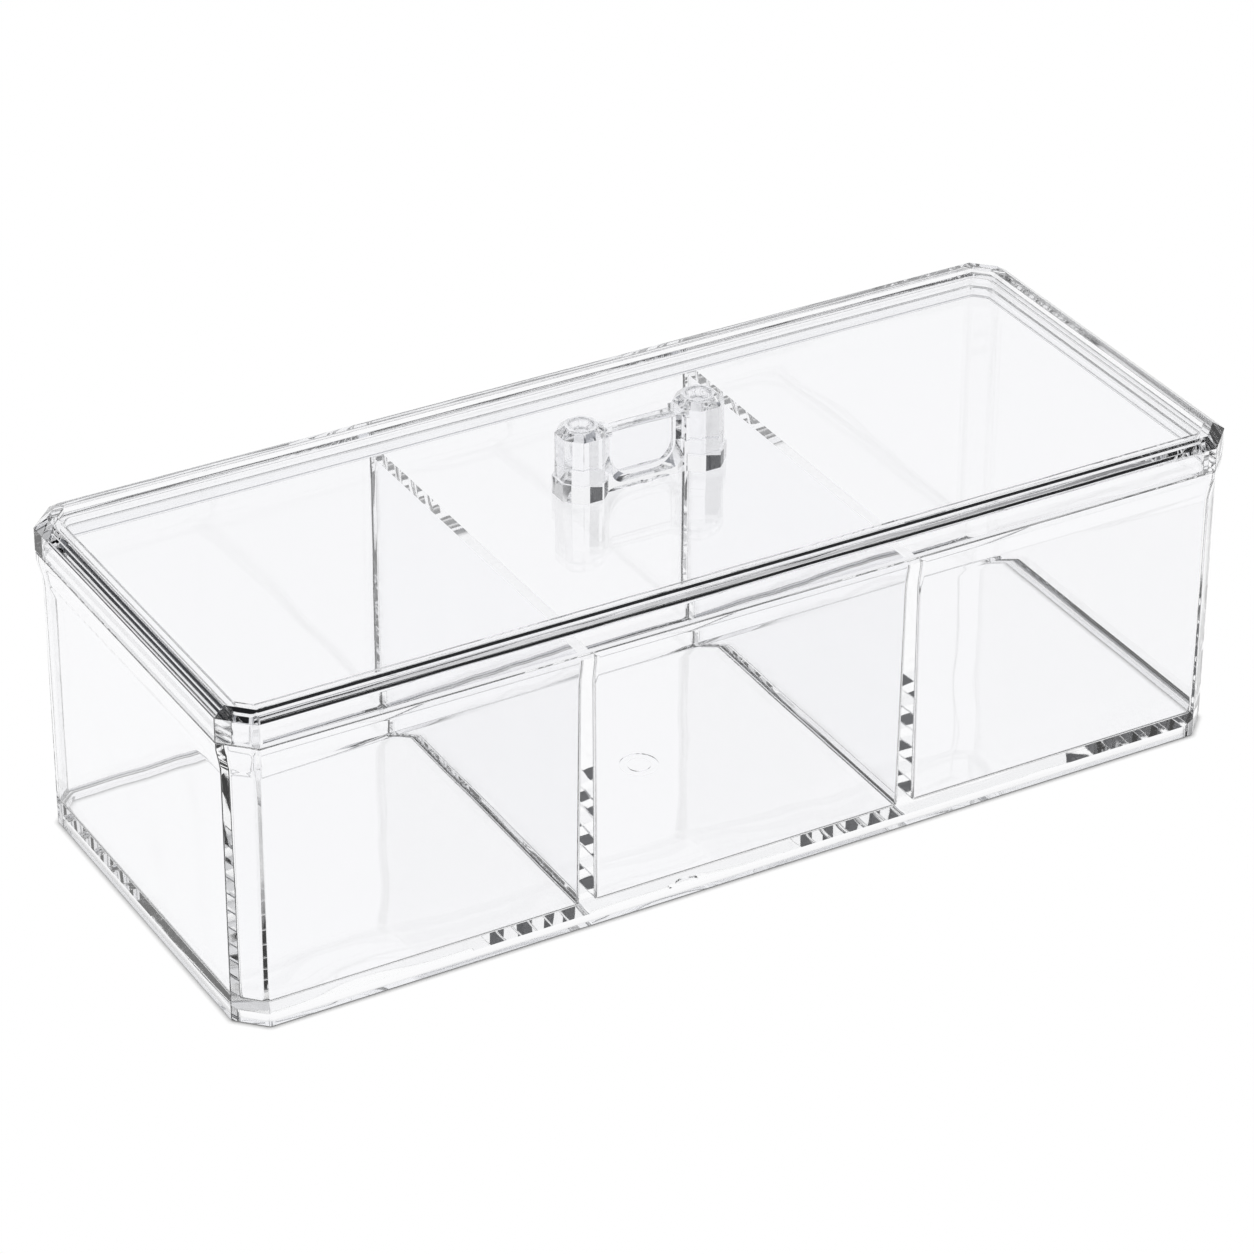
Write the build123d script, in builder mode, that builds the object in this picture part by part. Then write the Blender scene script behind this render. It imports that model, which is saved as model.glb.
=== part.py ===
"""Clear three-compartment storage box with a lift-off lid and a bonded grip.

Millimetres. The origin is the middle of the underside, +X runs along the
length, +Y to the back and +Z up. The lid is modelled in its closed place.
"""
import os
from math import atan, degrees, radians, sqrt, tan

from build123d import *

# ---- outline shared by the box and the lid ---------------------------------
LENGTH = 240.0          # over the lid's upright edge, along X
WIDTH = 98.8            # over the lid's upright edge, along Y
CORNER_CUT = 6.6        # cut corner, measured along each side
CORNER_EASE = 0.5       # small round on each outline corner

# ---- box -------------------------------------------------------------------
WALL_IN = 1.15          # the wall's outer face, in from the lid's edge
FLANGE_IN = 0.1         # the rim's outer face, in from the lid's edge
FLARE_Z = 60.0          # where the wall starts to flare
FLANGE_Z = 64.8         # where the flare ends and the divider tops stop
BOX_TOP = 66.5          # top of the rim
FLARE_ROUND = 14.0      # soft bend at the foot of the flare
RIM_EASE = 0.12         # round on the rim's outer top edge

FLOOR_Z = 4.5           # inside of the floor
FOOT_DEEP = 1.8         # hollow under the floor, inside the foot rim
FOOT_RIM = 2.6          # width of the foot rim

MOUTH_Z = 65.7          # where the inner face stops flaring
MOUTH_IN = 2.5          # inner face of the wall above the flare
CAVITY_IN = 3.35        # inner face of the wall at the foot of the flare
CAVITY_CUT = 3.5        # its corner cut
CAVITY_R = 1.6          # round on its upright corners
DIVIDER_X = 38.9        # middle of each divider
DIVIDER_TOP_T = 2.5     # divider thickness at its top
INSIDE_R = 1.1          # round where a divider meets a wall
DRAFT = 0.5             # mould draft of every inside face, degrees
FLOOR_ROUND = 1.05      # round between walls and floor

GATE_X = -2.3           # ring left by the mould's gate, under the floor
GATE_Y = -3.5
GATE_D = 8.8
GATE_NUB_D = 5.2
GATE_DEEP = 0.25

# ---- lid -------------------------------------------------------------------
SEAT_Z = 66.6           # underside of the lid's edge, 0.1 above the box rim
EDGE_TOP = 72.3         # top of the upright edge
LID_TOP = 74.2          # top of the raised rim
BEVEL_IN = 2.7          # bevel width
BEVEL_CUT = 4.6         # corner cut along the top of the bevel
LAND_W = 2.2            # flat land on the rim
LAND_CUT = 2.9          # corner cut along the inside of the land
STEP_W = 0.03           # steep step from the land down to the panel
STEP_CUT = 2.8          # corner cut along the foot of the step
PANEL_Z = 72.9          # top of the panel
PANEL_T = 2.5           # panel thickness
LIP_OUT = 3.35          # outer face of the locating lip
LIP_CUT = 3.7           # its corner cut
LIP_INNER = 5.4         # inner face of the lip and of the hollow
HOLLOW_CUT = 2.6        # its corner cut
HOLLOW_R = 1.5          # round on the upright corners of the lip and hollow
LIP_Z = 65.2            # bottom of the lip
HOLLOW_ROUND = 0.5      # round between the lip and the panel
SEAT_EASE = 0.6         # round on the lid's lower outer edge
EDGE_EASE = 0.1         # round at the foot of the bevel
LID_EASE = 0.12         # rounds on both edges of the land
STEP_EASE = 0.15        # round at the foot of the step
LIP_EASE = 0.25         # round on the lip's lower edges

# ---- grip ------------------------------------------------------------------
BOND = 0.05             # glue line between the grip and the panel
POST_X = 14.1           # middle of each post
PLINTH_AF = 11.4        # foot of a post, across flats
PLINTH_TOP = 77.1
POST_AF = 10.3          # post, across flats
POST_TOP = 87.2
CAP_AF = 6.9            # top of the sloped cap, across flats
CAP_TOP = 88.8
DIMPLE_D = 4.6          # round dimple in each cap
DIMPLE_DEEP = 2.0
DIMPLE_ROUND = 0.8
WEB_HALF = 3.4          # half thickness of the strip and the web's sides
WEB_THIN = 1.75         # half thickness of the scooped web
WEB_TOP = 86.7
SCOOP_IN_HALF = 7.7     # scoop at the web's face: half width, bottom, corner
SCOOP_IN_Z = 74.8
SCOOP_IN_R = 5.4
SCOOP_OUT_HALF = 8.6    # scoop at the outer face: half width, bottom, corner
SCOOP_OUT_Z = 74.5
SCOOP_OUT_R = 3.0
SCOOP_OVER = 0.2        # how far each scoop runs past the outer face
GRIP_EASE = 1.2         # rounds along the top of the web
VESTIGE_W = 2.4         # trimmed gate at the foot of the strip's front face
VESTIGE_T = 0.8
VESTIGE_H = 0.8


def outline(inset, cut=None):
    """Corners of the cut-corner outline, pulled in by an inset.

    Without a cut of its own the outline keeps its corners at an even inset.
    """
    hx = LENGTH / 2 - inset
    hy = WIDTH / 2 - inset
    c = CORNER_CUT - inset * (2 - sqrt(2)) if cut is None else cut
    return [
        (hx - c, -hy), (hx, -hy + c), (hx, hy - c), (hx - c, hy),
        (-hx + c, hy), (-hx, hy - c), (-hx, -hy + c), (-hx + c, -hy),
    ]


# ---- box: four walls, floor, foot rim, two dividers, flared rim -------------
with BuildPart() as box:
    with BuildSketch(Plane.XY) as wall_low:
        Polygon(*outline(WALL_IN), align=None)
        fillet(wall_low.vertices(), CORNER_EASE)
    extrude(amount=FLARE_Z)

    with BuildSketch(Plane.XY.offset(FLARE_Z)) as flare_low:
        Polygon(*outline(WALL_IN), align=None)
        fillet(flare_low.vertices(), CORNER_EASE)
    with BuildSketch(Plane.XY.offset(FLANGE_Z)) as flare_high:
        Polygon(*outline(FLANGE_IN), align=None)
        fillet(flare_high.vertices(), CORNER_EASE)
    loft(ruled=True)

    with BuildSketch(Plane.XY.offset(FLANGE_Z)) as flange:
        Polygon(*outline(FLANGE_IN), align=None)
        fillet(flange.vertices(), CORNER_EASE)
    extrude(amount=BOX_TOP - FLANGE_Z)

    fillet(box.edges().filter_by_position(Axis.Z, FLARE_Z - 0.01, FLARE_Z + 0.01), FLARE_ROUND)
    fillet(box.edges().filter_by_position(Axis.Z, BOX_TOP - 0.01, BOX_TOP + 0.01), RIM_EASE)

    # the inside: straight at the mouth, leaning in down the flare, then
    # closing towards the floor by the mould draft
    lean_in = CAVITY_IN - MOUTH_IN
    with BuildSketch(Plane.XY.offset(MOUTH_Z)) as mouth:
        Polygon(*outline(MOUTH_IN, CAVITY_CUT + lean_in * (2 - sqrt(2))), align=None)
        fillet(mouth.vertices(), CAVITY_R + lean_in)
    extrude(amount=BOX_TOP - MOUTH_Z, mode=Mode.SUBTRACT)
    extrude(
        mouth.sketch,
        amount=FLARE_Z - MOUTH_Z,
        taper=degrees(atan(lean_in / (MOUTH_Z - FLARE_Z))),
        mode=Mode.SUBTRACT,
    )
    with BuildSketch(Plane.XY.offset(FLARE_Z)) as cavity:
        Polygon(*outline(CAVITY_IN, CAVITY_CUT), align=None)
        fillet(cavity.vertices(), CAVITY_R)
    extrude(amount=FLOOR_Z - FLARE_Z, taper=DRAFT, mode=Mode.SUBTRACT)
    fillet(box.edges().filter_by_position(Axis.Z, FLARE_Z - 0.01, FLARE_Z + 0.01), FLARE_ROUND)

    # two dividers, thicker towards the floor by the same draft
    reach = WIDTH / 2 - WALL_IN - 0.7
    low = FLOOR_Z - 1.0
    half_low = DIVIDER_TOP_T / 2 + (FLANGE_Z - low) * tan(radians(DRAFT))
    for x in (-DIVIDER_X, DIVIDER_X):
        with BuildSketch(Plane.XZ):
            Polygon(
                (x - half_low, low),
                (x + half_low, low),
                (x + DIVIDER_TOP_T / 2, FLANGE_Z),
                (x - DIVIDER_TOP_T / 2, FLANGE_Z),
                align=None,
            )
        extrude(amount=reach, both=True)
    fillet(
        box.edges().filter_by(
            lambda e: abs(abs(e.center().X) - DIVIDER_X) < DIVIDER_TOP_T
            and abs(e.center().Y) > WIDTH / 2 - CAVITY_IN - 1.5
            and e.bounding_box().size.Z > 0.5
        ),
        INSIDE_R,
    )

    # round where the walls and dividers run into the floor
    fillet(box.edges().filter_by_position(Axis.Z, FLOOR_Z - 0.01, FLOOR_Z + 0.01), FLOOR_ROUND)

    # hollow under the floor, leaving the foot rim
    with BuildSketch(Plane.XY) as foot:
        Polygon(*outline(WALL_IN + FOOT_RIM), align=None)
        fillet(foot.vertices(), 1.5)
    extrude(amount=FOOT_DEEP, mode=Mode.SUBTRACT)

    # ring left by the gate, near the middle of the underside
    with BuildSketch(Plane.XY.offset(FOOT_DEEP)):
        with Locations((GATE_X, GATE_Y)):
            Circle(GATE_D / 2)
            Circle(GATE_NUB_D / 2, mode=Mode.SUBTRACT)
    extrude(amount=GATE_DEEP, mode=Mode.SUBTRACT)

# ---- lid: flat panel, bevelled rim, locating lip ----------------------------
with BuildPart() as lid:
    with BuildSketch(Plane.XY.offset(SEAT_Z)) as edge_low:
        Polygon(*outline(0.0), align=None)
        fillet(edge_low.vertices(), CORNER_EASE)
    extrude(amount=EDGE_TOP - SEAT_Z)

    with BuildSketch(Plane.XY.offset(EDGE_TOP)) as bevel_low:
        Polygon(*outline(0.0), align=None)
        fillet(bevel_low.vertices(), CORNER_EASE)
    with BuildSketch(Plane.XY.offset(LID_TOP)) as bevel_high:
        Polygon(*outline(BEVEL_IN, BEVEL_CUT), align=None)
        fillet(bevel_high.vertices(), CORNER_EASE)
    loft(ruled=True)

    for z, r in ((SEAT_Z, SEAT_EASE), (EDGE_TOP, EDGE_EASE), (LID_TOP, LID_EASE)):
        fillet(lid.edges().filter_by_position(Axis.Z, z - 0.01, z + 0.01), r)

    # panel, sunk below the rim by a short steep step
    with BuildSketch(Plane.XY.offset(LID_TOP)) as land_inner:
        Polygon(*outline(BEVEL_IN + LAND_W, LAND_CUT), align=None)
        fillet(land_inner.vertices(), CORNER_EASE)
    with BuildSketch(Plane.XY.offset(PANEL_Z)) as panel_edge:
        Polygon(*outline(BEVEL_IN + LAND_W + STEP_W, STEP_CUT), align=None)
        fillet(panel_edge.vertices(), CORNER_EASE)
    loft(ruled=True, mode=Mode.SUBTRACT)
    inner = BEVEL_IN + LAND_W - 0.05
    fillet(
        lid.edges().filter_by_position(Axis.Z, LID_TOP - 0.01, LID_TOP + 0.01).filter_by(
            lambda e: abs(e.center().X) < LENGTH / 2 - inner and abs(e.center().Y) < WIDTH / 2 - inner
        ),
        LID_EASE,
    )
    fillet(lid.edges().filter_by_position(Axis.Z, PANEL_Z - 0.01, PANEL_Z + 0.01), STEP_EASE)

    # locating lip, and the hollow inside it up to the panel
    with BuildSketch(Plane.XY.offset(LIP_Z)) as lip:
        Polygon(*outline(LIP_OUT, LIP_CUT), align=None)
        fillet(lip.vertices(), HOLLOW_R)
    extrude(amount=SEAT_Z - LIP_Z)
    with BuildSketch(Plane.XY.offset(LIP_Z)) as hollow:
        Polygon(*outline(LIP_INNER, HOLLOW_CUT), align=None)
        fillet(hollow.vertices(), HOLLOW_R)
    extrude(amount=PANEL_Z - PANEL_T - LIP_Z, mode=Mode.SUBTRACT)
    under = PANEL_Z - PANEL_T
    fillet(lid.edges().filter_by_position(Axis.Z, under - 0.01, under + 0.01), HOLLOW_ROUND)
    fillet(lid.edges().filter_by_position(Axis.Z, LIP_Z - 0.01, LIP_Z + 0.01), LIP_EASE)

# ---- grip: two eight-sided posts joined by a scooped web --------------------
with BuildPart() as handle:
    grip_z = PANEL_Z + BOND
    with BuildSketch(Plane.XY.offset(grip_z)):
        Rectangle(2 * POST_X, 2 * WEB_HALF)
    extrude(amount=WEB_TOP - grip_z)

    # a U-shaped scoop in each face, wider at the outer face than at the web
    run = (WEB_HALF + SCOOP_OVER - WEB_THIN) / (WEB_HALF - WEB_THIN)
    for side in (1, -1):
        for depth, half, low, r in (
            (WEB_THIN, SCOOP_IN_HALF, SCOOP_IN_Z, SCOOP_IN_R),
            (
                WEB_HALF + SCOOP_OVER,
                SCOOP_IN_HALF + (SCOOP_OUT_HALF - SCOOP_IN_HALF) * run,
                SCOOP_IN_Z + (SCOOP_OUT_Z - SCOOP_IN_Z) * run,
                SCOOP_IN_R + (SCOOP_OUT_R - SCOOP_IN_R) * run,
            ),
        ):
            with BuildSketch(Plane.XZ.offset(side * depth)) as u_shape:
                with Locations((0, (low + CAP_TOP) / 2)):
                    Rectangle(2 * half, CAP_TOP - low)
                fillet(u_shape.vertices().group_by(Axis.Y)[0], r)
        loft(ruled=True, mode=Mode.SUBTRACT)

    fillet(
        handle.edges().filter_by(Axis.X).filter_by_position(Axis.Z, WEB_TOP - 0.01, WEB_TOP + 0.01),
        GRIP_EASE,
    )

    # trimmed gate, half sunk in the strip's front face
    with BuildSketch(Plane.XY.offset(grip_z)):
        with Locations((0, -WEB_HALF)):
            SlotOverall(VESTIGE_W, VESTIGE_T)
    extrude(amount=VESTIGE_H)

    for x in (-POST_X, POST_X):
        with BuildSketch(Plane.XY.offset(grip_z)):
            with Locations((x, 0)):
                RegularPolygon(PLINTH_AF / 2, 8, major_radius=False, rotation=22.5)
        extrude(amount=PLINTH_TOP - grip_z)
        with BuildSketch(Plane.XY.offset(PLINTH_TOP)):
            with Locations((x, 0)):
                RegularPolygon(POST_AF / 2, 8, major_radius=False, rotation=22.5)
        extrude(amount=POST_TOP - PLINTH_TOP)
        with BuildSketch(Plane.XY.offset(POST_TOP)):
            with Locations((x, 0)):
                RegularPolygon(POST_AF / 2, 8, major_radius=False, rotation=22.5)
        with BuildSketch(Plane.XY.offset(CAP_TOP)):
            with Locations((x, 0)):
                RegularPolygon(CAP_AF / 2, 8, major_radius=False, rotation=22.5)
        loft(ruled=True)
        with BuildSketch(Plane.XY.offset(CAP_TOP - DIMPLE_DEEP)):
            with Locations((x, 0)):
                Circle(DIMPLE_D / 2)
        extrude(amount=DIMPLE_DEEP + 0.5, mode=Mode.SUBTRACT)

    # soft mouth and soft bottom of each dimple
    fillet(
        handle.edges().filter_by(GeomType.CIRCLE).filter_by_position(Axis.Z, CAP_TOP - 0.01, CAP_TOP + 0.01),
        DIMPLE_ROUND,
    )
    fillet(
        handle.edges().filter_by(GeomType.CIRCLE).filter_by_position(
            Axis.Z, CAP_TOP - DIMPLE_DEEP - 0.01, CAP_TOP - DIMPLE_DEEP + 0.01
        ),
        DIMPLE_ROUND,
    )

# ---- export ----------------------------------------------------------------
os.makedirs("parts", exist_ok=True)

box.part.label = "box"
export_step(box.part, "parts/box.step")

lid.part.label = "lid"
export_step(lid.part, "parts/lid.step")

handle.part.label = "handle"
export_step(handle.part, "parts/handle.step")
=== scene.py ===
"""Looks for the clear three-compartment storage box: materials, camera, light."""
import math

import bpy
from mathutils import Matrix, Vector

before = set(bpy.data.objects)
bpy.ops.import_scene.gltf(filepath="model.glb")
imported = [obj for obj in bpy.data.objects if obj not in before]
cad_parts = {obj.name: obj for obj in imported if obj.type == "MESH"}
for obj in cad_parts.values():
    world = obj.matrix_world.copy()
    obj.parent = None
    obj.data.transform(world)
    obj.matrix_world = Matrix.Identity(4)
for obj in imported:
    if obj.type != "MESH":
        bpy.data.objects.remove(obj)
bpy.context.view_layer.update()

scene = bpy.context.scene

# ---- camera ----------------------------------------------------------------
IMAGE_PX = 1254.0
AZ, EL, ROLL = 0.522651, 0.542907, 0.005249
DIST = 1.114616
FOCAL_PX = 5191.59
OFF_X, OFF_Y = 11.673, 17.265
AIM = Vector((0.0, 0.0, 0.0312))


def make_camera():
    out = Vector((-math.sin(AZ) * math.cos(EL), -math.cos(AZ) * math.cos(EL), math.sin(EL)))
    fwd = -out
    right = fwd.cross(Vector((0, 0, 1))).normalized()
    up = right.cross(fwd)
    x = math.cos(ROLL) * right + math.sin(ROLL) * up
    y = -math.sin(ROLL) * right + math.cos(ROLL) * up
    pos = AIM + out * DIST
    cam = bpy.data.cameras.new("camera")
    cam.sensor_fit = "HORIZONTAL"
    cam.sensor_width = 36.0
    cam.lens = FOCAL_PX / IMAGE_PX * 36.0
    cam.shift_x = -OFF_X / IMAGE_PX
    cam.shift_y = OFF_Y / IMAGE_PX
    cam.clip_start = 0.02
    cam.clip_end = 60.0
    obj = bpy.data.objects.new("camera", cam)
    scene.collection.objects.link(obj)
    obj.matrix_world = Matrix((
        (x.x, y.x, out.x, pos.x),
        (x.y, y.y, out.y, pos.y),
        (x.z, y.z, out.z, pos.z),
        (0, 0, 0, 1),
    ))
    scene.camera = obj
    return obj


make_camera()


# ---- shading helpers -------------------------------------------------------
def new_node(tree, kind, x, y, **values):
    n = tree.nodes.new(kind)
    n.location = (x, y)
    for key, value in values.items():
        setattr(n, key, value)
    return n


def clear_plastic(name, tint, ior, seed, wave=5.0e-5):
    """Clear moulded plastic: polished, with faint mould waviness and fine scuffs."""
    mat = bpy.data.materials.new(name)
    mat.use_nodes = True
    t = mat.node_tree
    t.nodes.clear()
    out = new_node(t, "ShaderNodeOutputMaterial", 900, 0)
    p = new_node(t, "ShaderNodeBsdfPrincipled", 600, 0)
    t.links.new(p.outputs["BSDF"], out.inputs["Surface"])
    p.inputs["Base Color"].default_value = (*tint, 1.0)
    p.inputs["Transmission Weight"].default_value = 1.0
    p.inputs["IOR"].default_value = ior

    co = new_node(t, "ShaderNodeTexCoord", -900, 0)
    place = new_node(t, "ShaderNodeMapping", -700, 0)
    place.inputs["Location"].default_value = (seed, seed * 0.37, seed * 0.61)
    t.links.new(co.outputs["Object"], place.inputs["Vector"])

    # polish: almost clear all over, a little duller in soft patches
    patch = new_node(t, "ShaderNodeTexNoise", -450, 200)
    patch.inputs["Scale"].default_value = 28.0
    patch.inputs["Detail"].default_value = 1.0
    t.links.new(place.outputs["Vector"], patch.inputs["Vector"])
    dull = new_node(t, "ShaderNodeMapRange", -200, 200)
    dull.inputs["From Min"].default_value = 0.50
    dull.inputs["From Max"].default_value = 0.85
    dull.inputs["To Min"].default_value = 0.0
    dull.inputs["To Max"].default_value = 0.035
    t.links.new(patch.outputs["Fac"], dull.inputs["Value"])

    # fine scuffs: thin streaks of a stretched noise
    streak_at = new_node(t, "ShaderNodeMapping", -700, -150)
    streak_at.inputs["Location"].default_value = (seed * 1.3, 0.2, seed)
    streak_at.inputs["Rotation"].default_value = (0.3, 0.2, 0.5)
    streak_at.inputs["Scale"].default_value = (60.0, 1400.0, 400.0)
    t.links.new(co.outputs["Object"], streak_at.inputs["Vector"])
    streak = new_node(t, "ShaderNodeTexNoise", -450, -100)
    streak.inputs["Scale"].default_value = 1.0
    streak.inputs["Detail"].default_value = 0.0
    t.links.new(streak_at.outputs["Vector"], streak.inputs["Vector"])
    scuff = new_node(t, "ShaderNodeMapRange", -200, -100)
    scuff.inputs["From Min"].default_value = 0.70
    scuff.inputs["From Max"].default_value = 0.82
    scuff.inputs["To Min"].default_value = 0.0
    scuff.inputs["To Max"].default_value = 0.05
    t.links.new(streak.outputs["Fac"], scuff.inputs["Value"])
    rough = new_node(t, "ShaderNodeMath", 100, 80, operation="ADD", use_clamp=True)
    t.links.new(dull.outputs["Result"], rough.inputs[0])
    t.links.new(scuff.outputs["Result"], rough.inputs[1])
    t.links.new(rough.outputs[0], p.inputs["Roughness"])

    # mould waviness: shallow, a centimetre or two long
    wavy = new_node(t, "ShaderNodeTexNoise", -200, -380)
    wavy.inputs["Scale"].default_value = 55.0
    wavy.inputs["Detail"].default_value = 0.0
    t.links.new(place.outputs["Vector"], wavy.inputs["Vector"])
    bump = new_node(t, "ShaderNodeBump", 200, -300)
    bump.inputs["Strength"].default_value = 1.0
    bump.inputs["Distance"].default_value = wave
    t.links.new(wavy.outputs["Fac"], bump.inputs["Height"])
    t.links.new(bump.outputs["Normal"], p.inputs["Normal"])
    return mat


def set_material(node, mat):
    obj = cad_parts[node]
    obj.data.materials.clear()
    obj.data.materials.append(mat)


SMOOTH_ANGLE = math.radians(24.0)


def smooth_by_angle():
    """Node group: rounds shade smooth, and edges over an angle stay crisp."""
    g = bpy.data.node_groups.new("crisp_edges", "GeometryNodeTree")
    g.interface.new_socket("Geometry", in_out="INPUT", socket_type="NodeSocketGeometry")
    g.interface.new_socket("Geometry", in_out="OUTPUT", socket_type="NodeSocketGeometry")
    i = new_node(g, "NodeGroupInput", -600, 0)
    o = new_node(g, "NodeGroupOutput", 600, 0)
    merge = new_node(g, "GeometryNodeMergeByDistance", -400, 0)
    merge.inputs["Distance"].default_value = 1e-6
    faces = new_node(g, "GeometryNodeSetShadeSmooth", -100, 0, domain="FACE")
    faces.inputs["Shade Smooth"].default_value = True
    edges = new_node(g, "GeometryNodeSetShadeSmooth", 200, 0, domain="EDGE")
    angle = new_node(g, "GeometryNodeInputMeshEdgeAngle", -400, -200)
    less = new_node(g, "FunctionNodeCompare", -100, -200, data_type="FLOAT", operation="LESS_EQUAL")
    less.inputs["B"].default_value = SMOOTH_ANGLE
    g.links.new(i.outputs[0], merge.inputs["Geometry"])
    g.links.new(merge.outputs["Geometry"], faces.inputs["Geometry"])
    g.links.new(faces.outputs["Geometry"], edges.inputs["Geometry"])
    g.links.new(angle.outputs["Unsigned Angle"], less.inputs["A"])
    g.links.new(less.outputs["Result"], edges.inputs["Shade Smooth"])
    g.links.new(edges.outputs["Geometry"], o.inputs[0])
    return g


crisp = smooth_by_angle()
for node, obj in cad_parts.items():
    m = obj.modifiers.new("crisp_edges", "NODES")
    m.node_group = crisp
    m = obj.modifiers.new("flat_faces", "WEIGHTED_NORMAL")
    m.mode = "FACE_AREA"
    m.weight = 100
    m.thresh = 0.0
    m.keep_sharp = True

TINT = (0.973, 0.974, 0.982)
set_material("box", clear_plastic("clear_box", TINT, 1.57, 0.0, wave=1.1e-4))
set_material("lid", clear_plastic("clear_lid", TINT, 1.57, 3.1))
set_material("handle", clear_plastic("clear_grip", TINT, 1.57, 6.7, wave=2.0e-5))

# ---- floor and light -------------------------------------------------------
FLOOR_LIGHT = 1.0
CONTACT = 0.0012        # reach of the shadow under the foot rim


def make_floor():
    me = bpy.data.meshes.new("floor")
    n, r = 96, 6.0
    ring = [(r * math.cos(2 * math.pi * k / n), r * math.sin(2 * math.pi * k / n), -0.0004) for k in range(n)]
    me.from_pydata(ring, [], [tuple(range(n))])
    obj = bpy.data.objects.new("floor", me)
    scene.collection.objects.link(obj)
    mat = bpy.data.materials.new("pale_floor")
    mat.use_nodes = True
    t = mat.node_tree
    t.nodes.clear()
    out = new_node(t, "ShaderNodeOutputMaterial", 300, 0)
    e = new_node(t, "ShaderNodeEmission", 0, 0)
    e.inputs["Strength"].default_value = FLOOR_LIGHT
    t.links.new(e.outputs["Emission"], out.inputs["Surface"])
    # no light reaches the floor where the foot rim stands on it
    touch = new_node(t, "ShaderNodeAmbientOcclusion", -250, 0, samples=4)
    touch.inputs["Color"].default_value = (1, 1, 1, 1)
    touch.inputs["Distance"].default_value = CONTACT
    t.links.new(touch.outputs["Color"], e.inputs["Color"])
    me.materials.append(mat)


make_floor()

# brightness of the room by height (0 at the horizon, 1 straight up): dim walls,
# which draw the clear edges, and a soft light overhead
ROOM = [(0.0, 0.05), (0.31, 0.06), (0.55, 0.06), (0.73, 0.20), (0.88, 0.32), (1.0, 0.36)]
ROOM_TINT = (0.88, 0.91, 1.0)
# soft lights: direction (degrees round from the camera, degrees up), half angle, edge, brightness
SOFTBOXES = [
    (180.0, 32.0, 15.0, 8.0, 0.88),
    (15.0, 26.0, 34.0, 14.0, 0.55),
    (60.0, 50.0, 30.0, 25.0, 0.15),
    (120.0, 22.0, 22.0, 12.0, 0.55),
    (300.0, 22.0, 22.0, 12.0, 0.55),
]


def make_world():
    w = bpy.data.worlds.new("studio")
    scene.world = w
    w.use_nodes = True
    t = w.node_tree
    t.nodes.clear()
    out = new_node(t, "ShaderNodeOutputWorld", 900, 0)
    bg = new_node(t, "ShaderNodeBackground", 700, 0)
    ramp = new_node(t, "ShaderNodeValToRGB", 100, 0)
    sep = new_node(t, "ShaderNodeSeparateXYZ", -100, 0)
    co = new_node(t, "ShaderNodeTexCoord", -400, 0)
    t.links.new(co.outputs["Generated"], sep.inputs["Vector"])
    t.links.new(sep.outputs["Z"], ramp.inputs["Fac"])
    t.links.new(bg.outputs["Background"], out.inputs["Surface"])
    els = ramp.color_ramp.elements
    while len(els) > 1:
        els.remove(els[-1])
    for k, (pos, v) in enumerate(ROOM):
        e = els[0] if k == 0 else els.new(pos)
        e.position = pos
        e.color = (v * ROOM_TINT[0], v * ROOM_TINT[1], v * ROOM_TINT[2], 1)
    colour = ramp.outputs["Color"]
    for k, (round_deg, up_deg, half, edge, level) in enumerate(SOFTBOXES):
        phi, up = math.radians(round_deg), math.radians(up_deg)
        toward = Vector((-math.sin(AZ), -math.cos(AZ), 0.0))
        side = Vector((math.cos(AZ), -math.sin(AZ), 0.0))
        d = (math.cos(phi) * toward + math.sin(phi) * side) * math.cos(up) + Vector((0, 0, math.sin(up)))
        dot = new_node(t, "ShaderNodeVectorMath", -100, -250 * (k + 1), operation="DOT_PRODUCT")
        dot.inputs[1].default_value = d
        t.links.new(co.outputs["Generated"], dot.inputs[0])
        fade = new_node(t, "ShaderNodeMapRange", 100, -250 * (k + 1), interpolation_type="SMOOTHSTEP")
        fade.inputs["From Min"].default_value = math.cos(math.radians(half + edge))
        fade.inputs["From Max"].default_value = math.cos(math.radians(half))
        fade.inputs["To Min"].default_value = 0.0
        fade.inputs["To Max"].default_value = level
        t.links.new(dot.outputs["Value"], fade.inputs["Value"])
        add = new_node(t, "ShaderNodeMix", 400, -120 * (k + 1), data_type="RGBA", blend_type="ADD")
        add.inputs["Factor"].default_value = 1.0
        t.links.new(colour, add.inputs["A"])
        t.links.new(fade.outputs["Result"], add.inputs["B"])
        colour = add.outputs["Result"]
    t.links.new(colour, bg.inputs["Color"])


make_world()

# ---- render quality --------------------------------------------------------
scene.view_settings.view_transform = "Standard"
scene.view_settings.look = "None"
c = scene.cycles
c.max_bounces = 40
c.transmission_bounces = 40
c.glossy_bounces = 24
c.diffuse_bounces = 4
c.transparent_max_bounces = 24
c.caustics_reflective = True
c.caustics_refractive = True
c.use_denoising = True
